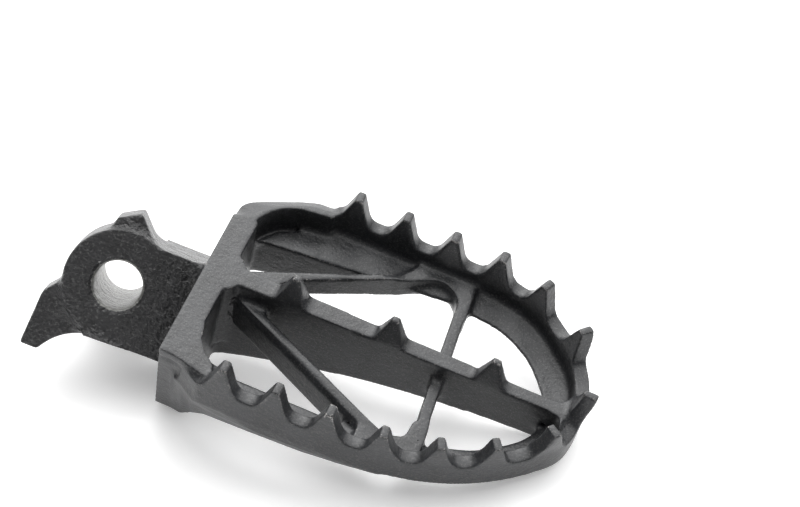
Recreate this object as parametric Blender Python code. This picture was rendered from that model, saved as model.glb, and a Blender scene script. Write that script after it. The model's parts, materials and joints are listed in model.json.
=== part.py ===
"""Left foot peg of an off-road motorcycle: one steel casting, modelled member by member.

The pivot frame sits on the middle of the pivot bore, with its Z along the bore.
The tread frame sits on the centre rib where it meets the end plate, with its
Z = 0 on the flat top of that plate, X outboard, Y to the rear and Z up.
Lengths are in metres; MM turns a size in millimetres into metres.
"""

import math

import bmesh
import bpy
from mathutils import Matrix, Vector

MM = 0.001
CAST_GAP = 0.3 * MM  # clearance between two members of the casting

# where the tread and the lug sit
TREAD_ORIGIN = Vector((22.0, -1.2, 17.5)) * MM
LUG_TILT = math.radians(45.0)
LUG_TWIST = math.radians(8.7)

# pivot lug
BORE_DIAMETER = 10.4 * MM
BOSS_RADIUS = 11.7 * MM
BOSS_THICKNESS = 12.8 * MM
BARREL_RADIUS = 8.7 * MM
LUG_LENGTH = 29.0 * MM
NECK_THICKNESS = 16.0 * MM
NECK_TOP_INSET = 1.3 * MM
NECK_LOW_OUTSET = 0.4 * MM
ARM_RECESS = 1.5 * MM
ARM_THICKNESS = 9.5 * MM
SPUR_START = math.radians(74.0)
SPUR_CREST = math.radians(92.0)
SPUR_HEEL_TURN = math.radians(112.0)
SPUR_END = math.radians(116.0)
SPUR_REACH = 3.9 * MM
SPUR_HEEL = 2.2 * MM
HOOK_START = math.radians(198.0)
HOOK_END = math.radians(261.0)
HOOK_REACH = 3.1 * MM
HOOK_LENGTH = 12.0 * MM
HOOK_DROP = 7.2 * MM
HOOK_DRAFT = 0.7 * MM
HOOK_THROAT_RADIUS = 12.0 * MM
HOOK_THROAT_START = math.radians(104.0)
ROUND_SEGMENTS = 64

# tread outline, along the middle of the toothed wall
TREAD_HALF_WIDTH = 26.2 * MM
FRONT_ARC_RADIUS = 48.7 * MM
REAR_ARC_RADIUS = 34.0 * MM
NOSE_RADIUS = 20.3 * MM
NOSE_CENTRE = Vector((58.3, 2.2)) * MM

# toothed wall
WALL_THICKNESS = 3.2 * MM
WALL_DEPTH = 7.3 * MM
FOOT_WIDTH = 5.0 * MM
FOOT_EDGE = 1.0 * MM
FOOT_SLOPE = 1.0 * MM
LEDGE_END = 46.0 * MM
TOOTH_HEIGHT = 6.5 * MM
TOOTH_TIP = 1.6 * MM
TOOTH_BASE = 7.4 * MM
TOOTH_KNEE = 5.8 * MM
KNEE_HEIGHT = 0.4 * MM
VALLEY_DEPTH = 1.0 * MM
VALLEY_ROUND = 0.4 * MM
VALLEY_FLAT = 2.2 * MM
FLAT_SHARE = 0.8  # most of a short valley's floor that may lie flat
FRONT_FIRST_TOOTH = 10.0 * MM
FRONT_PITCHES = (11.3 * MM,) * 5 + (12.5 * MM,)
REAR_FIRST_TOOTH = 18.8 * MM
REAR_PITCHES = (10.9 * MM,) * 4 + (13.1 * MM, 16.4 * MM)
RAIL_LEAD = 0.7 * MM
STATION_SPACING = 2.6 * MM

# end plate and its shoulders
PLATE_OUTER = -4.5 * MM
PLATE_THICKNESS = 5.7 * MM
PLATE_FRONT = 24.3 * MM
PLATE_REAR = 14.5 * MM
PLATE_REAR_DEPTH = 18.5 * MM
PLATE_LOW_END = -4.5 * MM
PLATE_DEPTH = 27.0 * MM
PLATE_FRONT_DEPTH = 24.6 * MM
PLATE_DRAFT = 3.9 * MM
SHOULDER_WALL = 3.2 * MM
REAR_CORNER = 5.0 * MM
SKIRT_THICKNESS = 2.6 * MM
SKIRT_REACH = 39.0 * MM
SKIRT_DEPTH = 11.3 * MM
SKIRT_LIP = 0.5 * MM
ARCH_DEPTH = 17.5 * MM
SHELF_TOP = -6.0 * MM
REAR_SKIRT_REACH = 36.0 * MM
REAR_SKIRT_FADE = 1.5  # how fast the rear skirt's lower edge rises away from the plate
REAR_SKIRT_DRAFT = 0.45

# ribs, braces and bars
RIB_ROOT_WIDTH = 4.7 * MM
RIB_END_WIDTH = 2.8 * MM
RIB_END_DEPTH = 10.6 * MM
RIB_FADE = 2.2  # how fast the rib's lower edge rises away from the lug
RIB_FLARE = 4.6 * MM
FLARE_THICKNESS = 1.3 * MM
RIB_TOOTH_HEIGHT = 6.9 * MM
RIB_TOOTH_LENGTH = 8.0 * MM
RIB_TOOTH_POSITIONS = (14.8 * MM, 36.5 * MM, 58.5 * MM)
BRACE_TOP = 4.0 * MM
BRACE_DEPTH = 5.2 * MM
BRACE_WIDTH = 1.8 * MM
BRACE_ROOT = 3.6 * MM
BRACE_ROOT_WIDTH = 7.0 * MM
BRACE_END = 42.0 * MM
REAR_BRACE_LIFT = 2.5 * MM
REAR_BRACE_END = 33.0 * MM
BAR_POSITION = 48.4 * MM
BAR_WIDTH = 2.6 * MM
BAR_SKEW = math.radians(4.0)
GUSSET_LENGTH = 13.5 * MM

# shade and roughness of the two cast finishes
TREAD_FINISH = (0.055, 0.5)
LUG_FINISH = (0.02, 0.7)
CAST_METALLIC = 0.55
COOL_TINT = 1.03


def clear_scene():
    for thing in list(bpy.data.objects):
        bpy.data.objects.remove(thing, do_unlink=True)


def cast_steel(name, shade, roughness):
    material = bpy.data.materials.new(name)
    material.use_nodes = True
    shader = material.node_tree.nodes["Principled BSDF"]
    shader.inputs["Base Color"].default_value = (shade, shade, shade * COOL_TINT, 1.0)
    shader.inputs["Roughness"].default_value = roughness
    shader.inputs["Metallic"].default_value = CAST_METALLIC
    return material


def frame_empty(name, location, matrix=None):
    empty = bpy.data.objects.new(name, None)
    bpy.context.scene.collection.objects.link(empty)
    empty.matrix_world = Matrix.Translation(location) @ (matrix or Matrix())
    return empty


def member(name, mesh_tool, frame, finish=TREAD_FINISH):
    """Turns a bmesh into one named member of the casting, placed in its frame."""
    bmesh.ops.recalc_face_normals(mesh_tool, faces=mesh_tool.faces)
    mesh = bpy.data.meshes.new(name)
    mesh_tool.to_mesh(mesh)
    mesh_tool.free()
    mesh.materials.append(cast_steel(name + "_steel", *finish))
    thing = bpy.data.objects.new(name, mesh)
    bpy.context.scene.collection.objects.link(thing)
    thing.parent = frame
    return thing


def loft(sections):
    """A closed solid through sections that all have the same number of points."""
    shape = bmesh.new()
    rings = [[shape.verts.new(point) for point in section] for section in sections]
    count = len(rings[0])
    for ring, following in zip(rings, rings[1:]):
        for i in range(count):
            j = (i + 1) % count
            shape.faces.new((ring[i], ring[j], following[j], following[i]))
    shape.faces.new(list(reversed(rings[0])))
    shape.faces.new(rings[-1])
    return shape


def prism(outline, low, high):
    """An upright solid over an outline of (x, y) points, between two heights."""
    return loft([[(x, y, z) for x, y in outline] for z in (low, high)])


def arc(centre, radius, start, end, steps):
    """Points on an arc, both ends included."""
    turns = [start + (end - start) * i / steps for i in range(steps + 1)]
    return [(centre[0] + radius * math.cos(t), centre[1] + radius * math.sin(t)) for t in turns]


# ---------------------------------------------------------------- tread outline


class TreadOutline:
    """Straight front side, three tangent arcs round the nose, straight rear side."""

    def __init__(self):
        half = TREAD_HALF_WIDTH
        nose = NOSE_CENTRE
        front_y = FRONT_ARC_RADIUS - half
        rear_y = half - REAR_ARC_RADIUS
        self.front_centre = self.beside_nose(nose, FRONT_ARC_RADIUS, front_y)
        self.rear_centre = self.beside_nose(nose, REAR_ARC_RADIUS, rear_y)
        self.front_turn = math.atan2(*(nose - self.front_centre).yx)
        self.rear_turn = math.atan2(*(nose - self.rear_centre).yx)
        self.front_length = FRONT_ARC_RADIUS * (self.front_turn + math.pi / 2)
        self.nose_length = NOSE_RADIUS * (self.rear_turn - self.front_turn)
        self.rear_length = REAR_ARC_RADIUS * (math.pi / 2 - self.rear_turn)
        self.front_end = self.front_centre.x + self.front_length
        self.nose_end = self.front_end + self.nose_length
        self.rear_end = self.nose_end + self.rear_length

    @staticmethod
    def beside_nose(nose, radius, y):
        """Centre, at height y, of the arc that runs tangent into the nose arc."""
        along = math.sqrt((radius - NOSE_RADIUS) ** 2 - (y - nose.y) ** 2)
        return Vector((nose.x - along, y))

    def point(self, run):
        """Point and outward direction, a run of metres along from x = 0 at the front."""
        if run <= self.front_centre.x:
            return Vector((run, -TREAD_HALF_WIDTH)), Vector((0.0, -1.0))
        if run <= self.front_end:
            turn = (run - self.front_centre.x) / FRONT_ARC_RADIUS - math.pi / 2
            centre, radius = self.front_centre, FRONT_ARC_RADIUS
        elif run <= self.nose_end:
            turn = self.front_turn + (run - self.front_end) / NOSE_RADIUS
            centre, radius = NOSE_CENTRE, NOSE_RADIUS
        elif run <= self.rear_end:
            turn = self.rear_turn + (run - self.nose_end) / REAR_ARC_RADIUS
            centre, radius = self.rear_centre, REAR_ARC_RADIUS
        else:
            past = run - self.rear_end
            return Vector((self.rear_centre.x - past, TREAD_HALF_WIDTH)), Vector((0.0, 1.0))
        outward = Vector((math.cos(turn), math.sin(turn)))
        return centre + radius * outward, outward

    def inner_y(self, x, side, inset):
        """How far from the rib a line inset from the wall's middle lies at this x."""
        centre, radius = self.rear_centre, REAR_ARC_RADIUS
        if side < 0:
            centre, radius = self.front_centre, FRONT_ARC_RADIUS
        if x <= centre.x:
            return TREAD_HALF_WIDTH - inset
        return math.sqrt((radius - inset) ** 2 - (x - centre.x) ** 2) + side * centre.y

    def rear_run(self, x):
        """Run of the point on the straight rear side at this x."""
        return self.rear_end + self.rear_centre.x - x


def running_total(first, steps):
    places = [first]
    for step in steps:
        places.append(places[-1] + step)
    return places


def tooth_profile(tooth_runs, start, end):
    """(run, height) pairs of the toothed edge: flat-topped teeth, rounded valleys."""
    tip, knee, base = TOOTH_TIP / 2, TOOTH_KNEE / 2, TOOTH_BASE / 2
    corner_z = VALLEY_ROUND - VALLEY_DEPTH
    profile = [(start, -VALLEY_DEPTH)]
    for run in tooth_runs:
        before = profile[-1][0]
        if before > start:
            middle = (before + run - base) / 2
            flat = min(VALLEY_FLAT, (run - base - before) * FLAT_SHARE) / 2
            profile += [(middle - flat, -VALLEY_DEPTH), (middle + flat, -VALLEY_DEPTH)]
        profile += [
            (run - base, corner_z),
            (run - knee, KNEE_HEIGHT),
            (run - tip, TOOTH_HEIGHT),
            (run + tip, TOOTH_HEIGHT),
            (run + knee, KNEE_HEIGHT),
            (run + base, corner_z),
        ]
    profile.append((end, -VALLEY_DEPTH))
    return close_stations(profile)


def close_stations(profile):
    """Adds stations wherever two lie far enough apart to cut a corner off a bend."""
    close = [profile[0]]
    for (run_a, z_a), (run_b, z_b) in zip(profile, profile[1:]):
        steps = math.ceil((run_b - run_a) / STATION_SPACING)
        for i in range(1, steps + 1):
            share = i / steps
            close.append((run_a + (run_b - run_a) * share, z_a + (z_b - z_a) * share))
    return close


def foot_width(x, side):
    """The rear foot widens into a ledge that ends level with the plate's rear edge."""
    if side < 0 or x > LEDGE_END:
        return FOOT_WIDTH
    plate_inner = PLATE_OUTER + PLATE_THICKNESS + CAST_GAP
    straight_edge = TREAD_HALF_WIDTH - WALL_THICKNESS / 2 - FOOT_WIDTH
    extra = straight_edge - PLATE_REAR - CAST_GAP
    return FOOT_WIDTH + extra * (LEDGE_END - x) / (LEDGE_END - plate_inner)


def foot_edge_y(outline, x, side):
    """How far from the rib the foot's inner edge lies at this x."""
    return outline.inner_y(x, side, WALL_THICKNESS / 2 + foot_width(x, side))


def toothed_wall(outline, tooth_runs, start, end):
    """The wall with its teeth on top and the sloping foot along its inner side."""
    half = WALL_THICKNESS / 2
    sections = []
    for run, top in tooth_profile(tooth_runs, start, end):
        point, outward = outline.point(run)
        edge = -half - foot_width(point.x, outward.y)
        section = (
            (half, top),
            (half, -WALL_DEPTH),
            (edge, -WALL_DEPTH),
            (edge, FOOT_EDGE - WALL_DEPTH),
            (-half, FOOT_EDGE + FOOT_SLOPE - WALL_DEPTH),
            (-half, top),
        )
        sections.append([(*(point + outward * out), z) for out, z in section])
    return loft(sections)


def front_rail_start():
    return FRONT_FIRST_TOOTH - TOOTH_BASE / 2 - RAIL_LEAD


def rear_rail_start():
    return REAR_FIRST_TOOTH - TOOTH_BASE / 2 - RAIL_LEAD


def build_rails(frame):
    """Front rail, rear rail and the nose that joins them round the outboard end."""
    outline = TreadOutline()
    front = running_total(FRONT_FIRST_TOOTH, FRONT_PITCHES)
    rear_steps = [-step for step in REAR_PITCHES]
    rear = running_total(outline.rear_run(REAR_FIRST_TOOTH), rear_steps)
    front_split = (front[-1] + front[-2]) / 2
    rear_split = (rear[-1] + rear[-2]) / 2
    gap = CAST_GAP / 2
    front_wall = toothed_wall(outline, front[:-1], front_rail_start(), front_split - gap)
    nose_wall = toothed_wall(outline, (front[-1], rear[-1]), front_split + gap, rear_split - gap)
    rear_end = outline.rear_run(rear_rail_start())
    rear_wall = toothed_wall(outline, rear[-2::-1], rear_split + gap, rear_end)
    member("front_rail", front_wall, frame)
    member("nose_bow", nose_wall, frame)
    member("rear_rail", rear_wall, frame)


# ------------------------------------------------------------ end plate, shoulders


def build_end_plate(frame):
    """Deep plate across the inner end, cast square to the centre rib."""
    inner = PLATE_OUTER + PLATE_THICKNESS
    profile = [
        (-PLATE_FRONT, 0.0),
        (-PLATE_FRONT + PLATE_DRAFT, -PLATE_FRONT_DEPTH),
        (-PLATE_FRONT + PLATE_DRAFT + SHOULDER_WALL, -PLATE_DEPTH),
        (PLATE_LOW_END, -PLATE_DEPTH),
        (PLATE_REAR, -PLATE_REAR_DEPTH),
        (PLATE_REAR, 0.0),
    ]
    plate = loft([[(x, y, z) for y, z in profile] for x in (PLATE_OUTER, inner)])
    member("end_plate", plate, frame)


def build_shoulders(frame):
    """Short walls from the end plate to the start of each rail, and the skirts below."""
    inner = PLATE_OUTER + PLATE_THICKNESS + CAST_GAP
    half = WALL_THICKNESS / 2
    rail_y = TREAD_HALF_WIDTH
    front = [
        (inner, -PLATE_FRONT),
        (front_rail_start() - CAST_GAP, -rail_y - half),
        (front_rail_start() - CAST_GAP, -rail_y + half),
        (inner + SHOULDER_WALL / 2, -rail_y + half + SHOULDER_WALL / 2),
        (inner, -PLATE_FRONT + 2 * SHOULDER_WALL),
    ]
    member("front_shoulder", prism(front, -WALL_DEPTH, 0.0), frame)
    build_front_skirt(frame, inner)
    start = PLATE_REAR + CAST_GAP
    end = rear_rail_start() - CAST_GAP
    turned = start + REAR_CORNER
    outside = [(PLATE_OUTER, start + SHOULDER_WALL / 2), (PLATE_OUTER + SHOULDER_WALL, turned),
               (end, rail_y + half)]
    inside = [(end, rail_y - half), (inner + SHOULDER_WALL, turned - CAST_GAP), (inner, start)]
    rear = [(PLATE_OUTER, start), *outside, *inside]
    member("rear_shoulder", prism(rear, -WALL_DEPTH, 0.0), frame)
    outline = TreadOutline()
    shelf = [(x + 0.7 * CAST_GAP, y - 0.8 * CAST_GAP) for x, y in inside]
    shelf[0] = (end, shelf[0][1])
    shelf += [(x, foot_edge_y(outline, x, 1)) for x in (2 * inner, end)]
    member("rear_shelf", prism(shelf, -WALL_DEPTH, SHELF_TOP), frame)
    build_rear_skirt(frame, outline, outside)


def build_front_skirt(frame, inner):
    outer_y = -TREAD_HALF_WIDTH - WALL_THICKNESS / 2 + CAST_GAP
    top = -WALL_DEPTH - CAST_GAP
    corner_y = -PLATE_FRONT + PLATE_DRAFT
    stations = (
        (inner, corner_y, -PLATE_FRONT_DEPTH + CAST_GAP),
        (inner + SHOULDER_WALL, corner_y - PLATE_DRAFT / 2, -ARCH_DEPTH),
        (inner + 3 * SHOULDER_WALL, outer_y + SKIRT_THICKNESS / 2, -SKIRT_DEPTH),
        ((inner + SKIRT_REACH) / 2, outer_y, (top - SKIRT_LIP - SKIRT_DEPTH) / 2),
        (SKIRT_REACH, outer_y, top - SKIRT_LIP),
    )
    skirt = []
    for x, low_y, low in stations:
        top_y = max(outer_y, -PLATE_FRONT) if x == inner else outer_y
        skirt.append([
            (x, top_y, top),
            (x, low_y, low),
            (x, low_y + SKIRT_THICKNESS, low),
            (x, top_y + SKIRT_THICKNESS, top),
        ])
    member("front_skirt", loft(skirt), frame)


def build_rear_skirt(frame, outline, outside):
    """Solid web under the rear ledge, deep at the end plate, drafted on its outer side."""
    top = -WALL_DEPTH - CAST_GAP
    start = PLATE_REAR + CAST_GAP
    outer_y = TREAD_HALF_WIDTH + WALL_THICKNESS / 2 - CAST_GAP
    last_x = outside[-1][0]
    stations = [(x, min(y, outer_y)) for x, y in outside]
    stations[2:2] = [tuple((a + b) / 2 for a, b in zip(outside[1], outside[2]))]
    steps = 4
    for i in range(1, steps + 1):
        stations.append((last_x + (REAR_SKIRT_REACH - last_x) * i / steps, outer_y))
    sections = []
    for x, out_y in stations:
        share = max(0.0, 1.0 - x / REAR_SKIRT_REACH) ** REAR_SKIRT_FADE
        low = top - SKIRT_LIP - (PLATE_REAR_DEPTH + top - SKIRT_LIP) * min(1.0, share)
        in_y = max(start, foot_edge_y(outline, max(x, 0.0), 1))
        low_y = max(in_y + SKIRT_LIP, out_y - REAR_SKIRT_DRAFT * (top - low))
        sections.append([(x, in_y, top), (x, in_y, low), (x, low_y, low), (x, out_y, top)])
    member("rear_skirt", loft(sections), frame)


# ------------------------------------------------------------------ ribs and bars


def nose_inside(y=0.0):
    """How far out the space inside the nose wall reaches, at this distance from the rib."""
    radius = NOSE_RADIUS - WALL_THICKNESS / 2
    return NOSE_CENTRE.x + math.sqrt(radius ** 2 - (y - NOSE_CENTRE.y) ** 2)


def rib_width(x):
    reach = nose_inside()
    return RIB_ROOT_WIDTH + (RIB_END_WIDTH - RIB_ROOT_WIDTH) * x / reach


def rib_depth(x):
    """Depth of the rib below its top: deep at the lug end, shallow at the nose."""
    reach = nose_inside()
    fade = (1.0 - x / reach) ** RIB_FADE
    return RIB_END_DEPTH + (PLATE_DEPTH - RIB_END_DEPTH) * fade


def build_centre_rib(frame):
    start = PLATE_OUTER + PLATE_THICKNESS + CAST_GAP
    end = nose_inside() - FOOT_WIDTH - 2 * CAST_GAP
    steps = 10
    sections = []
    for i in range(steps + 1):
        x = start + (end - start) * i / steps
        half, depth = rib_width(x) / 2, rib_depth(x)
        sections.append([(x, -half, 0.0), (x, -half, -depth), (x, half, -depth), (x, half, 0.0)])
    member("centre_rib", loft(sections), frame)
    half = rib_width(end) / 2
    low = FOOT_EDGE + FOOT_SLOPE + CAST_GAP - WALL_DEPTH
    steps = 4
    spread = [RIB_FLARE * (2 * i / steps - 1.0) for i in range(steps + 1)]
    neck_x = nose_inside(RIB_FLARE) - CAST_GAP - FLARE_THICKNESS
    fork = [(end + CAST_GAP, half), (end + CAST_GAP, -half), (neck_x, -RIB_FLARE / 2)]
    fork += [(nose_inside(y) - CAST_GAP, y) for y in spread]
    fork.append((neck_x, RIB_FLARE / 2))
    member("rib_fork", prism(fork, low, 0.0), frame)


def rectangle(x, half_x, half_y, z):
    corners = ((-1, -1), (1, -1), (1, 1), (-1, 1))
    return [(x + half_x * a, half_y * b, z) for a, b in corners]


def build_rib_teeth(frame):
    for number, x in enumerate(RIB_TOOTH_POSITIONS, start=1):
        half = rib_width(x + RIB_TOOTH_LENGTH / 2) / 2
        tip = TOOTH_TIP / 2
        base = rectangle(x, RIB_TOOTH_LENGTH / 2, half, CAST_GAP)
        point = rectangle(x, tip, tip, RIB_TOOTH_HEIGHT)
        member(f"rib_tooth_{number}", loft([base, point]), frame)


def brace_outline(outline, side):
    """Wide at the rib's root, then a thin web running out to the foot of the wall."""
    lift, end = (REAR_BRACE_LIFT, REAR_BRACE_END) if side > 0 else (0.0, BRACE_END)
    root_y = rib_width(BRACE_ROOT) / 2 + CAST_GAP
    end_y = foot_edge_y(outline, end, side) - CAST_GAP
    slope = (end_y - root_y - lift) / (end - BRACE_ROOT)
    across = BRACE_WIDTH * math.hypot(1.0, slope) / slope
    root_end = BRACE_ROOT + BRACE_ROOT_WIDTH
    inner_side = lift + slope * (root_end - BRACE_ROOT - across / 2)
    points = [
        (BRACE_ROOT, root_y),
        (root_end, root_y),
        (root_end, root_y + max(inner_side, BRACE_WIDTH) / 2),
        (root_end + across / 2, root_y + inner_side),
        (end, end_y),
        (end - across, foot_edge_y(outline, end - across, side) - CAST_GAP),
    ]
    if lift:
        points.append((BRACE_ROOT, root_y + lift))
    return points


def crossbar_outline(outline, side):
    """A bar square to the rib but for a small skew, from the rib to the foot."""
    root_y = rib_width(BAR_POSITION) / 2 + CAST_GAP
    lean = -side * math.tan(BAR_SKEW)
    half = BAR_WIDTH / 2
    ends = []
    for across in (half, -half):
        root_x = BAR_POSITION + across
        end_y = foot_edge_y(outline, root_x, side) - CAST_GAP
        end_y = foot_edge_y(outline, root_x + lean * end_y, side) - CAST_GAP
        ends.append((root_x + lean * end_y, end_y))
    return [(BAR_POSITION + half + lean * root_y, root_y), *ends,
            (BAR_POSITION - half + lean * root_y, root_y)]


def gusset_outline(outline, side):
    """The plate that ties the brace and the cross bar to the wall, over the foot."""
    half = WALL_THICKNESS / 2
    steps = 6
    places = [BAR_POSITION + BAR_WIDTH - GUSSET_LENGTH * i / steps for i in range(steps + 1)]
    wall = [(x, outline.inner_y(x, side, half + CAST_GAP)) for x in places]
    edge = [(x, foot_edge_y(outline, x, side)) for x in reversed(places)]
    return wall + edge


def build_bracing(frame, name, side):
    """Diagonal brace, cross bar and gusset on one side of the rib."""
    outline = TreadOutline()
    low, high = -BRACE_TOP - BRACE_DEPTH, -BRACE_TOP
    over_foot = FOOT_EDGE + FOOT_SLOPE + CAST_GAP - WALL_DEPTH
    pieces = (
        ("brace", brace_outline(outline, side), low),
        ("crossbar", crossbar_outline(outline, side), low),
        ("gusset", gusset_outline(outline, side), over_foot),
    )
    for piece, points, bottom in pieces:
        turned = [(x, y * side) for x, y in points]
        member(f"{name}_{piece}", prism(turned, bottom, high), frame)


# ------------------------------------------------------------------- pivot lug


def cylinder(radius, low, high):
    shape = bmesh.new()
    place = Matrix.Translation((0.0, 0.0, (low + high) / 2))
    bmesh.ops.create_cone(shape, cap_ends=True, segments=ROUND_SEGMENTS, radius1=radius,
                          radius2=radius, depth=high - low, matrix=place)
    return shape


def bore_cutter(frame):
    cutter = member("bore_cutter", cylinder(BORE_DIAMETER / 2, -LUG_LENGTH, LUG_LENGTH), frame)
    cutter.hide_render = True
    cutter.display_type = "WIRE"
    return cutter


def cut_bore(thing, cutter):
    bore = thing.modifiers.new("bore", "BOOLEAN")
    bore.operation = "DIFFERENCE"
    bore.solver = "EXACT"
    bore.object = cutter


def polar(radius, turn):
    return (radius * math.cos(turn), radius * math.sin(turn))


def spur_outline():
    """A lopsided tab on top of the boss that keeps the return spring in place."""
    outline = arc((0, 0), BOSS_RADIUS + CAST_GAP, SPUR_START, SPUR_END, 8)
    outline.append(polar(BOSS_RADIUS + SPUR_HEEL, SPUR_HEEL_TURN))
    outline.append(polar(BOSS_RADIUS + SPUR_REACH, SPUR_CREST))
    return outline


def hook_outline():
    """The stop hook: a straight outer side, and a throat that runs on from the boss."""
    seat = BOSS_RADIUS + CAST_GAP
    outline = arc((0, 0), seat, HOOK_START, HOOK_END, 12)
    throat = (0.0, -seat - HOOK_THROAT_RADIUS)
    low = -BOSS_RADIUS - HOOK_DROP
    last = math.pi - math.asin((low - throat[1]) / HOOK_THROAT_RADIUS)
    outline += arc(throat, HOOK_THROAT_RADIUS, HOOK_THROAT_START, last, 8)
    outer = -BOSS_RADIUS - HOOK_REACH
    outline += [(outer, low), (outer + HOOK_DRAFT, low + HOOK_LENGTH)]
    return outline


def build_pivot_lug(frame):
    """Boss and barrel round the bore, the neck to the end plate, spur and stop hook."""
    face = LUG_LENGTH / 2
    back = face - BOSS_THICKNESS
    cutter = bore_cutter(frame)
    boss = member("pivot_boss", cylinder(BOSS_RADIUS, back, face), frame, LUG_FINISH)
    barrel_shape = cylinder(BARREL_RADIUS, -face, back - CAST_GAP)
    barrel = member("pivot_barrel", barrel_shape, frame, LUG_FINISH)
    cut_bore(boss, cutter)
    cut_bore(barrel, cutter)
    build_neck(frame, face)
    arm_face = face - ARM_RECESS
    arm_back = arm_face - ARM_THICKNESS
    member("spring_spur", prism(spur_outline(), arm_back, arm_face), frame, LUG_FINISH)
    member("stop_hook", prism(hook_outline(), arm_back, arm_face), frame, LUG_FINISH)


def build_neck(frame, face):
    """The neck leaves the boss on an arc and ends against the end plate's face."""
    seat = BOSS_RADIUS + CAST_GAP
    rise = BOSS_RADIUS - NECK_TOP_INSET
    drop = BOSS_RADIUS + NECK_LOW_OUTSET
    top_turn = math.asin(rise / seat)
    low_turn = -math.pi / 2
    outline = arc((0, 0), seat, top_turn, low_turn, 24)
    far = 3 * BOSS_RADIUS
    outline += [(far, -drop), (far, rise)]
    shape = prism(outline, face - NECK_THICKNESS, face)
    to_frame = frame.matrix_world.inverted()
    plate_face = Vector((TREAD_ORIGIN.x + PLATE_OUTER - CAST_GAP, 0.0, 0.0))
    direction = to_frame.to_3x3() @ Vector((1.0, 0.0, 0.0))
    geometry = shape.verts[:] + shape.edges[:] + shape.faces[:]
    cut = bmesh.ops.bisect_plane(shape, geom=geometry, plane_co=to_frame @ plate_face,
                                 plane_no=direction, clear_outer=True)
    rim = [item for item in cut["geom_cut"] if isinstance(item, bmesh.types.BMEdge)]
    bmesh.ops.contextual_create(shape, geom=rim)
    member("lug_neck", shape, frame, LUG_FINISH)


def build():
    clear_scene()
    tread_frame = frame_empty("tread_frame", TREAD_ORIGIN)
    lug_turn = Matrix.Rotation(LUG_TILT, 4, "X") @ Matrix.Rotation(LUG_TWIST, 4, "Y")
    pivot_frame = frame_empty("pivot_frame", Vector((0.0, 0.0, 0.0)), lug_turn)
    bpy.context.view_layer.update()
    build_pivot_lug(pivot_frame)
    build_end_plate(tread_frame)
    build_shoulders(tread_frame)
    build_rails(tread_frame)
    build_centre_rib(tread_frame)
    build_rib_teeth(tread_frame)
    build_bracing(tread_frame, "front", -1)
    build_bracing(tread_frame, "rear", 1)


build()
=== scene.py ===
"""Looks of the left foot peg: one black cast steel body, shown in the members it is cast from.

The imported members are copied, grown until they meet, cast into one skin with rounded
inner corners, and parted again where the members meet, so that every piece stays a
closed solid of its own. Lengths are in metres; MM turns millimetres into metres.
"""

import json
import math

import bmesh
import bpy
import numpy as np
from mathutils import Matrix, Vector
from mathutils.bvhtree import BVHTree


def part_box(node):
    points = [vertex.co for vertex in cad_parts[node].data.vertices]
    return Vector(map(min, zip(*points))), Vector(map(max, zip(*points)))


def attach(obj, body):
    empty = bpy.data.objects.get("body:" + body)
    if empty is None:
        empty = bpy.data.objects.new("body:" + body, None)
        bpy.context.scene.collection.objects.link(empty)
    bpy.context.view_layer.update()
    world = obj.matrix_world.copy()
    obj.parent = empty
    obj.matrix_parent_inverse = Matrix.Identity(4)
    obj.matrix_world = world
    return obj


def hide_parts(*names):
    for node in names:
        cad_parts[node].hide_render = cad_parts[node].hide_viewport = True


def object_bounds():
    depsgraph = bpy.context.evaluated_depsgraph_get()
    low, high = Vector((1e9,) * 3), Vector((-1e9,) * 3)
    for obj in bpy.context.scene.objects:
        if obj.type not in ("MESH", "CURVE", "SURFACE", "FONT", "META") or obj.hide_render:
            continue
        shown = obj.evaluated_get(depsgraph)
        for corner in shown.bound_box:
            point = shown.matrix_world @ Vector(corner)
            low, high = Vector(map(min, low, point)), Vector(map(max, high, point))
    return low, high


MM = 0.001

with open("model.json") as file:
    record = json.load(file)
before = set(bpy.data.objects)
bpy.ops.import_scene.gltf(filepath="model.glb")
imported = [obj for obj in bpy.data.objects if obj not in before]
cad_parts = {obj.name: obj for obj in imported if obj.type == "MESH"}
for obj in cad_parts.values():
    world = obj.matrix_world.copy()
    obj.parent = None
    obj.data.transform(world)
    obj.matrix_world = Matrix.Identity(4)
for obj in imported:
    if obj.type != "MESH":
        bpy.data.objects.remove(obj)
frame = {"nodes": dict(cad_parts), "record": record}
cad_box = [list(corner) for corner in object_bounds()]

# the casting's skin: its fineness, and how often its edges and inner corners are rounded
GROWTH = 0.2 * MM  # closes the gaps between the members before they are cast together
VOXEL = 0.34 * MM
WELD = 0.002 * MM
EDGE_PASSES = 8
LUG_EDGE_PASSES = 8  # on top of the passes that the whole casting gets
FILLET_PASSES = 10
LUG_FILLET_PASSES = 40
EDGE_WEAR_HEIGHT = 0.12 * MM  # an edge that stands out this far is fully worn

# heights and sizes in the tread frame, in millimetres
PLATE_INNER = 1.2  # from the tread frame's origin to the end plate's inner side
LUG_END, TREAD_START = -6.2, -4.6
WALL_LOW = -7.3
LEDGE_THICKNESS = 1.0
BRACE_TOP = -4.0
BRACE_LOW = -9.2
BRACE_SIDE_TOP = -5.0
BRACE_SIDE_LOW = -11.6
RIB_HALF = 2.3
RIB_CORNER_RADIUS = 2.0
RIB_CORNER_LOW = -20.0
PAD_STEP = 1.1  # the plate's raised top stands this far above its near shoulder
PAD_OVERLAP = 1.0
CHAMFER_DROP = 2.2
BAND_TOP = -6.9  # where the front side's band meets the wall's flange
BAND_THICKNESS = 2.4
BAND_TOP_THICKNESS = 2.8
BAND_START_Y, BAND_SLOPE, BAND_OUTER_Y = -24.5, -0.68, -27.6

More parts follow.
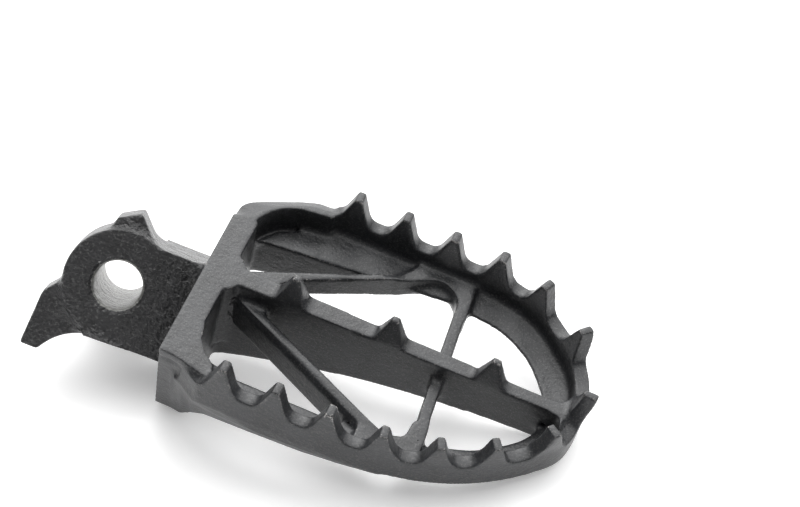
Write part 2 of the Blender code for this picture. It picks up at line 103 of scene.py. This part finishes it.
# outlines in the tread frame, in millimetres
FAR_RIM_INSIDE = ((14.9, 23.2), (12.9, 22.9), (7.5, 22.1), (4.4, 20.6), (2.2, 18.3), (0.6, 15.4),
                  (0.4, 12.5))
FAR_RIM_OUTSIDE = ((-4.4, 12.5), (-4.0, 13.5), (-1.1, 15.8), (1.7, 19.4), (3.2, 20.5), (7.4, 22.9),
                   (9.6, 23.9), (14.9, 24.7))
FAR_WALL_OUTSIDE = ((-4.45, 12.5), (-4.45, 17.6), (-4.3, 18.9), (-3.1, 20.5), (-0.5, 22.1),
                    (6.9, 26.0), (10.3, 27.4), (14.9, 27.6))
NEAR_POCKET = ((1.0, -13.8), (1.5, -14.7), (2.2, -17.9), (4.1, -20.7), (5.5, -21.6))
PAD_EDGE = ((6.7, -23.0), (6.9, -25.2), (6.2, -26.0), (2.8, -25.3), (0.3, -24.6), (-3.6, -24.1),
            (-3.6, -13.8))
NEAR_SHOULDER_EDGE = ((8.2, -21.8), (9.4, -23.6), (9.4, -27.6), (5.3, -27.6), (0.8, -24.8))
REAR_TAIL = ((28.0, 16.8), (32.3, 19.3), (34.4, 22.0), (35.3, 25.0), (39.0, 25.0), (39.6, 21.4),
             (36.4, 19.6), (33.0, 17.6))
REAR_WEB = ((38.0, 25.0), (48.3, 25.0), (48.9, 15.0), (46.2, 15.0), (45.7, 18.7), (44.5, 20.3),
            (43.0, 21.3), (41.2, 21.7), (39.6, 21.4), (36.4, 19.6))
FRONT_WEB = ((40.0, -19.2), (42.2, -20.4), (44.0, -20.6), (46.0, -19.6), (47.0, -17.6),
             (47.3, -14.0), (50.0, -14.0), (51.5, -25.0), (40.0, -25.0))
NOSE_LEDGE = ((49.5, 18.5), (52.6, 18.3), (56.3, 17.6), (59.8, 16.1), (63.3, 13.8), (65.6, 11.6),
              (67.4, 9.3), (69.5, 6.3), (70.5, 3.5), (71.0, 1.0), (74.5, 1.0), (73.8, 8.0),
              (70.0, 14.0), (64.5, 18.0), (57.0, 21.0), (49.5, 22.0))
BRACE_SIDE = ((4.0, -3.4), (5.8, -2.8), (41.0, -19.2), (41.0, -21.4), (40.0, -21.3))
# the front side's drafted band, station by station: x, then y and z of its lower edge
NEAR_BAND = ((-0.5, -20.7, -24.2), (1.6, -21.2, -24.0), (4.2, -22.0, -20.8), (7.0, -23.0, -18.0),
             (12.0, -24.6, -15.3), (18.5, -25.7, -13.3), (29.0, -26.5, -11.4), (39.0, -27.0, -9.3),
             (45.0, -27.3, -7.8))
REAR_ROOT = ((0.8, 2.0), (6.0, 2.0), (6.0, 6.3), (3.5, 5.1), (2.4, 5.2), (1.5, 6.2), (0.8, 8.0))

# a rib tooth, in millimetres: height and half length of its two lower levels, then its tip
TOOTH_SOLE, TOOTH_SOLE_HALF = -0.8, 3.3
TOOTH_FOOT, TOOTH_FOOT_HALF = 0.4, 3.1
TOOTH_TIP_HALF = (0.8, 0.75)

# the nose's curve in the tread frame, in millimetres, and how far its wall leans or tucks in
NOSE_MIDDLE = (58.3, 2.2)
NOSE_LEAN = 1.1
NOSE_TUCK = 0.8

# the dent in the end plate's near corner, in millimetres
DENT_PLACE = (-1.6, -25.0, -3.0)
DENT_REACH = (2.6, 3.0, 0.9)
DENT_DEPTH = 0.45

# the bore in the pivot frame, in metres
BORE_HALF = 14.5 * MM
LIP_RADIUS = 6.1 * MM
LIP_SLOPE = 0.8
BORE_SURFACE = 5.6 * MM  # anything nearer to the axis belongs to the bore
BORE_STEP = (3.2 * MM, 3.7 * MM)  # below the middle, where the bore gets a little wider
BORE_STEP_SHARE = 0.025

PIECES = {
    "pivot_lug": ("pivot_boss", "pivot_barrel", "lug_neck"),
    "spring_spur": ("spring_spur",),
    "stop_hook": ("stop_hook",),
    "end_plate": ("end_plate",),
    "front_rail": ("front_rail", "front_shoulder", "front_skirt", "front_gusset"),
    "nose_bow": ("nose_bow",),
    "rear_rail": ("rear_rail", "rear_shoulder", "rear_shelf", "rear_skirt", "rear_gusset"),
    "centre_rib": ("centre_rib", "rib_fork"),
    "rib_teeth": ("rib_tooth_1", "rib_tooth_2", "rib_tooth_3"),
    "front_bracing": ("front_brace", "front_crossbar"),
    "rear_bracing": ("rear_brace", "rear_crossbar"),
}
LUG_PIECES = ("pivot_lug", "spring_spur", "stop_hook")
RIB_TEETH = ("rib_tooth_1", "rib_tooth_2", "rib_tooth_3")
RESHAPED = ("front_shoulder", "rear_shoulder", "rear_gusset", *RIB_TEETH)


# ------------------------------------------------------------------ the two frames


def tread_origin():
    """The tread frame's origin: on the centre rib, level with the end plate's top."""
    rib_low, rib_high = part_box("centre_rib")
    plate_low, plate_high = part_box("end_plate")
    middle = (rib_low.y + rib_high.y) / 2
    return Vector((plate_high.x - PLATE_INNER * MM, middle, plate_high.z))


def pivot_frame():
    """Z along the bore, X in the lug's plane towards the tread, origin at its middle."""
    mount = next(m for m in frame["record"]["mounts"] if m["name"] == "pivot_bore")
    along = Vector(mount["axis"]).normalized()
    towards = Vector((1.0, 0.0, 0.0))
    towards = (towards - along * towards.dot(along)).normalized()
    across = along.cross(towards)
    turn = Matrix((towards, across, along)).transposed().to_4x4()
    return Matrix.Translation(Vector(mount["pos_m"])) @ turn


# --------------------------------------------------------------- shapes to be cast


def copied(node):
    """A closed bmesh copy of a packed member."""
    shape = bmesh.new()
    shape.from_mesh(frame["nodes"][node].data)
    bmesh.ops.remove_doubles(shape, verts=shape.verts, dist=WELD)
    return shape


def grown(shape, amount):
    """Moves every face out by the same amount."""
    shape.normal_update()
    moves = [(v, v.normal * v.calc_shell_factor() * amount) for v in shape.verts]
    for vertex, move in moves:
        vertex.co += move
    return shape


def lofted(sections):
    """A closed solid through sections of equally many (x, y, z) points of the tread frame."""
    origin = tread_origin()
    shape = bmesh.new()
    rings = []
    for section in sections:
        rings.append([shape.verts.new(origin + Vector(point) * MM) for point in section])
    count = len(rings[0])
    for ring, following in zip(rings, rings[1:]):
        for i in range(count):
            j = (i + 1) % count
            shape.faces.new((ring[i], ring[j], following[j], following[i]))
    shape.faces.new(rings[0])
    shape.faces.new(rings[-1])
    bmesh.ops.recalc_face_normals(shape, faces=shape.faces)
    bmesh.ops.triangulate(shape, faces=[f for f in shape.faces if len(f.verts) > 4])
    return shape


def stacked(levels):
    """A closed solid through (outline, height) levels."""
    return lofted([[(x, y, height) for x, y in outline] for outline, height in levels])


def upright(outline, low, high):
    """A closed solid with the same outline at both heights."""
    return stacked([(outline, low), (outline, high)])


def corner_fill(corner, along, across, radius, low, high):
    """A fillet in the upright corner between two walls that leave it along two directions."""
    corner, a, b = Vector(corner), Vector(along).normalized(), Vector(across).normalized()
    half = a.angle(b) / 2
    reach = radius / math.tan(half)
    centre = corner + (a + b).normalized() * (radius / math.sin(half))
    start, end = corner + a * reach - centre, corner + b * reach - centre
    steps = 6
    outline = [centre + start.slerp(end, i / steps) for i in range(steps + 1)]
    sunk = 0.6  # reaches this far into the walls
    outline += [corner + b * reach - a * sunk, corner - (a + b) * sunk]
    outline.append(corner + a * reach - b * sunk)
    return upright([tuple(point) for point in outline], low, high)


def far_shoulder():
    """The rear shoulder: a narrow rim on top with a broad chamfer outside it."""
    top = FAR_RIM_OUTSIDE + FAR_RIM_INSIDE
    wide = FAR_WALL_OUTSIDE + FAR_RIM_INSIDE
    return stacked([(wide, WALL_LOW), (wide, -CHAMFER_DROP), (top, 0.0)])


def near_shoulder():
    """The front shoulder's lower wall, with the plate's raised pad running over it."""
    wall = NEAR_POCKET + NEAR_SHOULDER_EDGE
    pad = NEAR_POCKET + PAD_EDGE
    return upright(wall, WALL_LOW, -PAD_STEP), upright(pad, -PAD_STEP - PAD_OVERLAP, 0.0)


def near_band():
    """The web under the front wall's flange, sweeping up from the end plate."""
    sections = []
    for x, low_y, low in NEAR_BAND:
        top_y = max(BAND_OUTER_Y, BAND_START_Y + BAND_SLOPE * max(0.0, x))
        sections.append(((x, top_y, BAND_TOP), (x, low_y, low), (x, low_y + BAND_THICKNESS, low),
                         (x, top_y + BAND_TOP_THICKNESS, BAND_TOP)))
    return lofted(sections)


def rib_tooth(node):
    """A steep pyramid as wide as the rib at its foot, with a small flat tip."""
    low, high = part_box(node)
    middle = ((low + high) / 2 - tread_origin()) / MM
    tip = (high.z - tread_origin().z) / MM
    half_width = (high.y - low.y) / 2 / MM

    def level(half_x, half_y, z):
        corners = ((-1, -1), (1, -1), (1, 1), (-1, 1))
        return [(middle.x + half_x * a, middle.y + half_y * b) for a, b in corners], z

    return stacked([
        level(TOOTH_SOLE_HALF, half_width, TOOTH_SOLE),
        level(TOOTH_FOOT_HALF, half_width, TOOTH_FOOT),
        level(*TOOTH_TIP_HALF, tip),
    ])


def shapes_to_cast():
    """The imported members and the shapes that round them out, grown until they meet."""
    shapes = [copied(node) for node in frame["nodes"] if node not in RESHAPED]
    shapes.append(far_shoulder())
    shapes.extend(near_shoulder())
    shapes.append(near_band())
    shapes.append(upright(NOSE_LEDGE, WALL_LOW, WALL_LOW + LEDGE_THICKNESS))
    shapes.extend(rib_tooth(node) for node in RIB_TEETH)
    shapes.append(upright(BRACE_SIDE, BRACE_SIDE_LOW, BRACE_SIDE_TOP))
    for web in (REAR_TAIL, REAR_WEB, FRONT_WEB, REAR_ROOT):
        shapes.append(upright(web, BRACE_LOW, BRACE_TOP))
    for side in (-1, 1):
        corner = (PLATE_INNER, side * RIB_HALF)
        ways = ((1, 0), (0, side))
        shapes.append(corner_fill(corner, *ways, RIB_CORNER_RADIUS, RIB_CORNER_LOW, 0.0))
    return [grown(shape, GROWTH) for shape in shapes]


# ------------------------------------------------------------------- one cast skin


def evaluated_copy(thing, name):
    """A new mesh of an object as its modifiers leave it."""
    bpy.context.view_layer.update()
    graph = bpy.context.evaluated_depsgraph_get()
    mesh = bpy.data.meshes.new_from_object(thing.evaluated_get(graph))
    mesh.name = name
    return mesh


def cast_together(shapes):
    """One closed skin round all the shapes."""
    raw = bpy.data.meshes.new("raw_casting")
    joined = bmesh.new()
    for shape in shapes:
        part = bpy.data.meshes.new("raw_member")
        shape.to_mesh(part)
        shape.free()
        joined.from_mesh(part)
        bpy.data.meshes.remove(part)
    joined.to_mesh(raw)
    joined.free()
    thing = bpy.data.objects.new("raw_casting", raw)
    bpy.context.scene.collection.objects.link(thing)
    remesh = thing.modifiers.new("skin", "REMESH")
    remesh.mode = "VOXEL"
    remesh.voxel_size = VOXEL
    skin = evaluated_copy(thing, "casting_skin")
    bpy.data.objects.remove(thing)
    bpy.data.meshes.remove(raw)
    return skin


class Skin:
    """The casting's vertices as arrays, with the moves that finish its surface."""

    def __init__(self, mesh):
        self.mesh = mesh
        self.count = len(mesh.vertices)
        self.co = np.empty(self.count * 3)
        mesh.vertices.foreach_get("co", self.co)
        self.co = self.co.reshape(-1, 3)
        ends = np.empty(len(mesh.edges) * 2, int)
        mesh.edges.foreach_get("vertices", ends)
        self.first, self.second = ends.reshape(-1, 2).T
        self.degree = self.sums(np.ones(self.count))

    def sums(self, values):
        """For each vertex, the sum of a value over its neighbours."""
        total = np.bincount(self.first, values[self.second], self.count)
        return total + np.bincount(self.second, values[self.first], self.count)

    def towards_neighbours(self, co):
        """The way from each vertex to the middle of its neighbours."""
        mean = np.stack([self.sums(co[:, axis]) for axis in range(3)], axis=1)
        return mean / self.degree[:, None] - co

    def normals(self):
        self.mesh.vertices.foreach_set("co", self.co.ravel())
        self.mesh.update()
        found = np.empty(self.count * 3, np.float32)
        self.mesh.vertex_normals.foreach_get("vector", found)
        return found.reshape(-1, 3).astype(float)

    def smooth(self, passes, weight=1.0):
        """Rounds every edge, inner and outer, by an amount that grows with the passes."""
        weight = np.asarray(weight).reshape(-1, 1)
        for _ in range(passes):
            self.co += 0.5 * weight * self.towards_neighbours(self.co)

    def round_inner_corners(self, passes, weight=1.0):
        """Fills hollows only, so inner corners get a fillet and outer edges stay."""
        for _ in range(passes):
            normals = self.normals()
            move = self.towards_neighbours(self.co)
            hollow = (move * normals).sum(axis=1) > 0
            self.co += 0.7 * move * (hollow * weight)[:, None]

    def push(self, amount):
        """Moves the surface out along its normals, in metres."""
        self.co += self.normals() * np.asarray(amount).reshape(-1, 1)

    def edge_sharpness(self, passes=10):
        """How far each vertex stands out of the smoothed surface, in metres."""
        smoothed = self.co.copy()
        for _ in range(passes):
            smoothed += 0.5 * self.towards_neighbours(smoothed)
        return ((self.co - smoothed) * self.normals()).sum(axis=1)


def blend(value, low, high):
    """0 below low, 1 above high, smooth between."""
    share = np.clip((value - low) / (high - low), 0.0, 1.0)
    return share * share * (3.0 - 2.0 * share)


def lug_share(skin):
    """1 on the lug, 0 on the tread."""
    x = (skin.co[:, 0] - tread_origin().x) / MM
    return 1.0 - blend(x, LUG_END, TREAD_START)


def sculpt_nose(skin):
    """The nose wall leans out towards its tooth tips, and its near side's foot tucks in."""
    x, y, z = ((skin.co - np.array(tread_origin())) / MM).T
    out_x, out_y = x - NOSE_MIDDLE[0], y - NOSE_MIDDLE[1]
    reach = np.hypot(out_x, out_y) + 1e-6
    turn = np.degrees(np.arctan2(out_y, out_x))
    round_nose = blend(turn, -35.0, 0.0) * (1.0 - blend(turn, 50.0, 85.0))
    round_nose *= blend(reach, 10.0, 13.0)
    lean = NOSE_LEAN * (1.0 - blend(z, -1.0, 6.0)) * blend(reach, 15.0, 18.0)
    near_side = blend(turn, -140.0, -105.0) * (1.0 - blend(turn, -45.0, -20.0))
    near_side *= blend(reach, 15.0, 19.0)
    tuck = NOSE_TUCK * near_side * (1.0 - blend(z, -1.0, 4.0))
    move = -(round_nose * lean + tuck) / reach * MM
    skin.co[:, 0] += move * out_x
    skin.co[:, 1] += move * out_y


def sculpt_dent(skin):
    """A shallow dent in the end plate's near corner, under the raised pad."""
    local = (skin.co - np.array(tread_origin())) / MM
    apart = (local - np.array(DENT_PLACE)) / np.array(DENT_REACH)
    skin.push(-DENT_DEPTH * MM * np.exp(-(apart ** 2).sum(axis=1)))


def sculpt_bore(skin):
    """Chamfers the bore's two lips, widens its lower part a little, and gives its mask."""
    to_pivot = pivot_frame().inverted()
    turn = np.array(to_pivot.to_3x3())
    shift = np.array(to_pivot.translation)
    local = skin.co @ turn.T + shift
    radius = np.hypot(local[:, 0], local[:, 1])
    free = 1.0  # beyond the lips nothing is limited
    limit = np.where(radius < LIP_RADIUS, BORE_HALF - (LIP_RADIUS - radius) * LIP_SLOPE, free)
    local[:, 2] = np.clip(local[:, 2], -limit, limit)
    in_bore = (radius < BORE_SURFACE) & (np.abs(local[:, 2]) < BORE_HALF - 0.5 * MM)
    wider = in_bore * blend(-local[:, 2], *BORE_STEP)
    local[:, :2] *= (1.0 + BORE_STEP_SHARE * wider)[:, None]
    skin.co = (local - shift) @ turn
    return in_bore.astype(float)


def keep_in_box(skin):
    """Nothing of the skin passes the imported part's box."""
    low, high = (np.array(corner) for corner in cad_box)
    skin.co = np.clip(skin.co, low, high)


# ---------------------------------------------------------------- parting the skin


def nearest_piece(points):
    """For each point, the number of the piece whose packed member is nearest."""
    corners, faces, owners = [], [], []
    for number, members in enumerate(PIECES.values()):
        for node in members:
            mesh = frame["nodes"][node].data
            start = len(corners)
            corners.extend(v.co for v in mesh.vertices)
            for face in mesh.polygons:
                faces.append([start + i for i in face.vertices])
                owners.append(number)
    tree = BVHTree.FromPolygons(corners, faces)
    return np.array([owners[tree.find_nearest(Vector(point))[2]] for point in points])


def parted(skin, masks):
    """Closed objects, one for each piece, cut where the members of the casting meet."""
    mesh = skin.mesh
    normals = skin.normals()
    centres = np.empty(len(mesh.polygons) * 3)
    mesh.polygons.foreach_get("center", centres)
    owner = nearest_piece(centres.reshape(-1, 3))
    things = {}
    for number, name in enumerate(PIECES):
        shape = bmesh.new()
        shape.from_mesh(mesh)
        source = shape.verts.layers.int.new("source")
        for vertex in shape.verts:
            vertex[source] = vertex.index
        others = [face for face in shape.faces if owner[face.index] != number]
        bmesh.ops.delete(shape, geom=others, context="FACES")
        open_edges = [edge for edge in shape.edges if edge.is_boundary]
        caps = bmesh.ops.holes_fill(shape, edges=open_edges, sides=0)["faces"]
        bmesh.ops.triangulate(shape, faces=caps)
        piece = bpy.data.meshes.new(name)
        shape.to_mesh(piece)
        shape.free()
        came_from = np.empty(len(piece.vertices), np.int32)
        piece.attributes["source"].data.foreach_get("value", came_from)
        piece.attributes.remove(piece.attributes["source"])
        for mask, values in masks.items():
            stored = piece.attributes.new(mask, "FLOAT", "POINT")
            stored.data.foreach_set("value", values[came_from].astype(np.float32))
        piece.shade_smooth()
        piece.normals_split_custom_set_from_vertices(normals[came_from].tolist())
        things[name] = bpy.data.objects.new(name, piece)
        bpy.context.scene.collection.objects.link(things[name])
    return things


# ------------------------------------------------------------------------ finishes


LOOK_NUMBERS = ("Grain Scale", "Grain Depth", "Fleck Limit", "Wear Limit")
# the light speck colour below paints glints: spots where the grained surface catches light, put
# into the steel's colour
TREAD_LOOK = {
    "Grain Scale": 1500.0, "Grain Depth": 0.1 * MM, "Fleck Limit": 0.57, "Wear Limit": 0.93,
    "shade": (0.017, 0.018, 0.020), "painted_glint": (0.05, 0.05, 0.05), "bare_and_rim_highlight": (0.28, 0.27, 0.26),
    "roughness": 0.38, "bore": None,
}
# on the lug, the worn edges' colour and its lower limit are partly worn steel and partly painted
# rim highlights
LUG_LOOK = {
    "Grain Scale": 850.0, "Grain Depth": 0.75 * MM, "Fleck Limit": 0.6, "Wear Limit": 0.85,
    "shade": (0.016, 0.016, 0.017), "painted_glint": (0.05, 0.05, 0.05), "bare_and_rim_highlight": (0.3, 0.3, 0.3),
    "roughness": 0.34, "bore": (0.22, 0.22, 0.21),
}

# shares of the grain's scale and height, the painted glints, the cloudiness and the worn edges
# that all castings have; the worn edges also carry painted rim highlights
COARSE_SCALE_SHARE = 0.3
COARSE_HEIGHT_SHARE = 1.2
GLINT_SCALE_SHARE = 1.9
CLOUD_SCALE = 160.0
CLOUD_DARK, CLOUD_LIGHT = 0.72, 1.3
WEAR_RAGGED = 1.6
WEAR_PATCHY = 1.2
WEAR_POLISH = 0.2
WEAR_METALLIC = 0.7
BORE_METALLIC = 0.6


def new_material(name):
    """A new material and its surface shader."""
    material = bpy.data.materials.new(name)
    material.use_nodes = True
    return material, material.node_tree.nodes["Principled BSDF"]


def maths(tree, operation, first, second):
    """A math node of two inputs, each a socket or a number; gives its output."""
    node = tree.nodes.new("ShaderNodeMath")
    node.operation = operation
    for socket, value in zip(node.inputs, (first, second)):
        if isinstance(value, (int, float)):
            socket.default_value = value
        else:
            tree.links.new(value, socket)
    return node.outputs[0]


def stepped(tree, value, low, high):
    """Smooth step of a value between two limits."""
    node = tree.nodes.new("ShaderNodeMapRange")
    node.interpolation_type = "SMOOTHSTEP"
    node.inputs["From Min"].default_value = low
    node.inputs["From Max"].default_value = high
    tree.links.new(value, node.inputs["Value"])
    return node.outputs["Result"]


def noise(tree, coordinates, scale, detail, roughness=0.55):
    """Noise between 0 and 1; its scale is a socket or a number."""
    node = tree.nodes.new("ShaderNodeTexNoise")
    node.inputs["Detail"].default_value = detail
    node.inputs["Roughness"].default_value = roughness
    tree.links.new(coordinates, node.inputs["Vector"])
    if isinstance(scale, (int, float)):
        node.inputs["Scale"].default_value = scale
    else:
        tree.links.new(scale, node.inputs["Scale"])
    return node.outputs["Fac"]


def cast_surface_group():
    """Grain, painted glints, cloudiness and worn edges of a casting, the edges partly painted rim
    highlights: masks and a normal.
    """
    group = bpy.data.node_groups.new("cast_surface", "ShaderNodeTree")
    for name in LOOK_NUMBERS:
        group.interface.new_socket(name, in_out="INPUT", socket_type="NodeSocketFloat")
    for name in ("Cloud", "Painted Glint", "Wear And Rim Highlight"):
        group.interface.new_socket(name, in_out="OUTPUT", socket_type="NodeSocketFloat")
    group.interface.new_socket("Normal", in_out="OUTPUT", socket_type="NodeSocketVector")
    nodes, links = group.nodes, group.links
    given, made = nodes.new("NodeGroupInput"), nodes.new("NodeGroupOutput")
    where = nodes.new("ShaderNodeTexCoord").outputs["Object"]
    scale = given.outputs["Grain Scale"]

    grain = noise(group, where, scale, 3.0, 0.6)
    coarse = noise(group, where, maths(group, "MULTIPLY", scale, COARSE_SCALE_SHARE), 2.0)
    height = maths(group, "ADD", grain, maths(group, "MULTIPLY", coarse, COARSE_HEIGHT_SHARE))
    bump = nodes.new("ShaderNodeBump")
    bump.inputs["Strength"].default_value = 1.0
    links.new(height, bump.inputs["Height"])
    links.new(given.outputs["Grain Depth"], bump.inputs["Distance"])
    links.new(bump.outputs["Normal"], made.inputs["Normal"])

    cloud = noise(group, where, CLOUD_SCALE, 3.0)
    links.new(cloud, made.inputs["Cloud"])
    # the finest noise: over its limit it gives the painted glints, and it also frays the worn
    # edges
    fine = noise(group, where, maths(group, "MULTIPLY", scale, GLINT_SCALE_SHARE), 1.0)
    over = maths(group, "SUBTRACT", fine, given.outputs["Fleck Limit"])
    links.new(stepped(group, over, 0.0, 0.08), made.inputs["Painted Glint"])

    # worn edges from the convex edges' mask: partly worn steel, partly painted rim highlights
    edge = nodes.new("ShaderNodeAttribute")
    edge.attribute_name = "edge_wear"
    ragged = maths(group, "MULTIPLY", maths(group, "SUBTRACT", fine, 0.5), WEAR_RAGGED)
    edge_value = maths(group, "ADD", edge.outputs["Fac"], ragged)
    patchy = maths(group, "MULTIPLY", maths(group, "SUBTRACT", cloud, 0.5), WEAR_PATCHY)
    edge_value = maths(group, "ADD", edge_value, patchy)
    worn = maths(group, "SUBTRACT", edge_value, given.outputs["Wear Limit"])
    links.new(stepped(group, worn, 0.0, 0.35), made.inputs["Wear And Rim Highlight"])
    return group


def mixed(tree, factor, first, second):
    """Mixes two colours, each a socket or an (r, g, b)."""
    node = tree.nodes.new("ShaderNodeMix")
    node.data_type = "RGBA"
    tree.links.new(factor, node.inputs["Factor"])
    colour_inputs = node.inputs[6:8]
    for socket, value in zip(colour_inputs, (first, second)):
        if isinstance(value, tuple):
            socket.default_value = (*value, 1.0)
        else:
            tree.links.new(value, socket)
    return node.outputs[2]


def cast_steel(name, group, look):
    """Blackened cast steel with lighter specks that are painted glints, and exposed steel where
    its edges are worn, made light enough to paint rim highlights there too.
    """
    material, shader = new_material(name)
    tree = material.node_tree
    surface = tree.nodes.new("ShaderNodeGroup")
    surface.node_tree = group
    for socket in LOOK_NUMBERS:
        surface.inputs[socket].default_value = look[socket]
    dark = tuple(channel * CLOUD_DARK for channel in look["shade"])
    light = tuple(channel * CLOUD_LIGHT for channel in look["shade"])
    colour = mixed(tree, stepped(tree, surface.outputs["Cloud"], 0.3, 0.7), dark, light)
    # painted glints: light specks mixed into the colour
    colour = mixed(tree, surface.outputs["Painted Glint"], colour, look["painted_glint"])
    # worn edges: exposed steel, light enough to also paint rim highlights
    colour = mixed(tree, surface.outputs["Wear And Rim Highlight"], colour, look["bare_and_rim_highlight"])
    roughness = maths(tree, "MULTIPLY", surface.outputs["Wear And Rim Highlight"], -WEAR_POLISH)
    roughness = maths(tree, "ADD", roughness, look["roughness"])
    metallic = maths(tree, "MULTIPLY", surface.outputs["Wear And Rim Highlight"], WEAR_METALLIC)
    if look["bore"]:
        bore = tree.nodes.new("ShaderNodeAttribute")
        bore.attribute_name = "bore_wear"
        colour = mixed(tree, bore.outputs["Fac"], colour, look["bore"])
        in_bore = maths(tree, "MULTIPLY", bore.outputs["Fac"], BORE_METALLIC)
        metallic = maths(tree, "MAXIMUM", metallic, in_bore)
    tree.links.new(colour, shader.inputs["Base Color"])
    tree.links.new(roughness, shader.inputs["Roughness"])
    tree.links.new(metallic, shader.inputs["Metallic"])
    tree.links.new(surface.outputs["Normal"], shader.inputs["Normal"])
    return material


# ----------------------------------------------------------------------- the stage


TABLE_NORMAL = Vector((-0.2465, 0.132, 1.0)).normalized()
TABLE_HALF = 6.0
TABLE_SHADE = (0.93, 0.93, 0.93, 1.0)
TABLE_GLOW = 0.28
SKY_DIRECTION = (-0.25, 0.68, 0.69)
SKY_EDGE, SKY_FULL = 0.3, 0.85
SKY_LEVEL = 2.7
DIM_LEVEL = 0.22
BOX_POWER = 3.0
BOX_SIZE = 0.5
BOX_OFFSET = Vector((-0.3, 0.6, 0.6))
PEG_MIDDLE = Vector((0.045, 0.0, 0.01))
CAMERA_PLACE = (0.08751, -0.27216, 0.39013)
CAMERA_RIGHT = Vector((0.92174, 0.34223, 0.18239))
CAMERA_BACK = Vector((0.07325, -0.61551, 0.78472))


def lay_table(things):
    """A pale table that touches the peg's lowest points; it is clear from underneath."""
    lowest = min(v.co.dot(TABLE_NORMAL) for thing in things.values() for v in thing.data.vertices)
    turn = TABLE_NORMAL.to_track_quat("Z", "Y").to_matrix().to_4x4()
    place = Matrix.Translation(TABLE_NORMAL * lowest) @ turn
    shape = bmesh.new()
    bmesh.ops.create_grid(shape, x_segments=1, y_segments=1, size=TABLE_HALF)
    bmesh.ops.transform(shape, matrix=place, verts=shape.verts)
    mesh = bpy.data.meshes.new("table")
    shape.to_mesh(mesh)
    shape.free()
    table = bpy.data.objects.new("table", mesh)
    bpy.context.scene.collection.objects.link(table)
    material, shader = new_material("table_paper")
    shader.inputs["Base Color"].default_value = TABLE_SHADE
    shader.inputs["Roughness"].default_value = 0.8
    shader.inputs["Emission Color"].default_value = (1.0, 1.0, 1.0, 1.0)
    shader.inputs["Emission Strength"].default_value = TABLE_GLOW
    nodes, links = material.node_tree.nodes, material.node_tree.links
    facing = nodes.new("ShaderNodeNewGeometry")
    clear = nodes.new("ShaderNodeBsdfTransparent")
    mix = nodes.new("ShaderNodeMixShader")
    links.new(facing.outputs["Backfacing"], mix.inputs["Fac"])
    links.new(shader.outputs["BSDF"], mix.inputs[1])
    links.new(clear.outputs["BSDF"], mix.inputs[2])
    links.new(mix.outputs["Shader"], nodes["Material Output"].inputs["Surface"])
    mesh.materials.append(material)


def add_back_softbox():
    """A square light behind the peg, turned to it."""
    light = bpy.data.lights.new("back_softbox", "AREA")
    light.shape = "SQUARE"
    light.size = BOX_SIZE
    light.energy = BOX_POWER
    thing = bpy.data.objects.new("back_softbox", light)
    bpy.context.scene.collection.objects.link(thing)
    thing.location = PEG_MIDDLE + BOX_OFFSET
    thing.rotation_euler = (-BOX_OFFSET).to_track_quat("-Z", "Y").to_euler()


def light_studio():
    """A broad bright sky behind the peg and dim surroundings in front of it."""
    world = bpy.data.worlds.new("studio")
    bpy.context.scene.world = world
    world.use_nodes = True
    tree = world.node_tree
    towards = tree.nodes.new("ShaderNodeTexCoord").outputs["Generated"]
    facing = tree.nodes.new("ShaderNodeVectorMath")
    facing.operation = "DOT_PRODUCT"
    tree.links.new(towards, facing.inputs[0])
    facing.inputs[1].default_value = Vector(SKY_DIRECTION).normalized()
    share = stepped(tree, facing.outputs["Value"], SKY_EDGE, SKY_FULL)
    colour = mixed(tree, share, (DIM_LEVEL,) * 3, (SKY_LEVEL,) * 3)
    tree.links.new(colour, tree.nodes["Background"].inputs["Color"])
    tree.nodes["Background"].inputs["Strength"].default_value = 1.0
    add_back_softbox()
    bpy.context.scene.view_settings.view_transform = "Standard"


def place_camera():
    """Looks down on the peg from in front and above, turned as it lies on the table."""
    camera = bpy.data.cameras.new("camera")
    camera.lens = 101.6
    camera.sensor_width = 36.0
    camera.clip_start = 0.01
    thing = bpy.data.objects.new("camera", camera)
    bpy.context.scene.collection.objects.link(thing)
    right, back = CAMERA_RIGHT.normalized(), CAMERA_BACK.normalized()
    turn = Matrix((right, back.cross(right), back)).transposed().to_4x4()
    thing.matrix_world = Matrix.Translation(CAMERA_PLACE) @ turn
    bpy.context.scene.camera = thing


# -------------------------------------------------------------------------- build


def build():
    """Casts, finishes and parts the skin, gives the pieces their steel, and lays the table."""
    skin = Skin(cast_together(shapes_to_cast()))
    skin.smooth(EDGE_PASSES)
    skin.push(-GROWTH)
    on_lug = lug_share(skin)
    skin.smooth(LUG_EDGE_PASSES, on_lug)
    skin.round_inner_corners(FILLET_PASSES)
    skin.round_inner_corners(LUG_FILLET_PASSES, on_lug)
    sculpt_nose(skin)
    sculpt_dent(skin)
    in_bore = sculpt_bore(skin)
    keep_in_box(skin)
    masks = {
        "edge_wear": np.clip(skin.edge_sharpness() / EDGE_WEAR_HEIGHT, -1.0, 1.0),
        "bore_wear": in_bore,
    }
    things = parted(skin, masks)
    group = cast_surface_group()
    tread_steel = cast_steel("tread_cast_steel", group, TREAD_LOOK)
    lug_steel = cast_steel("lug_cast_steel", group, LUG_LOOK)
    for name, thing in things.items():
        is_lug = name in LUG_PIECES
        thing.data.materials.append(lug_steel if is_lug else tread_steel)
        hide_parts(*PIECES[name])
        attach(thing, "root")
    lay_table(things)


build()
light_studio()
place_camera()
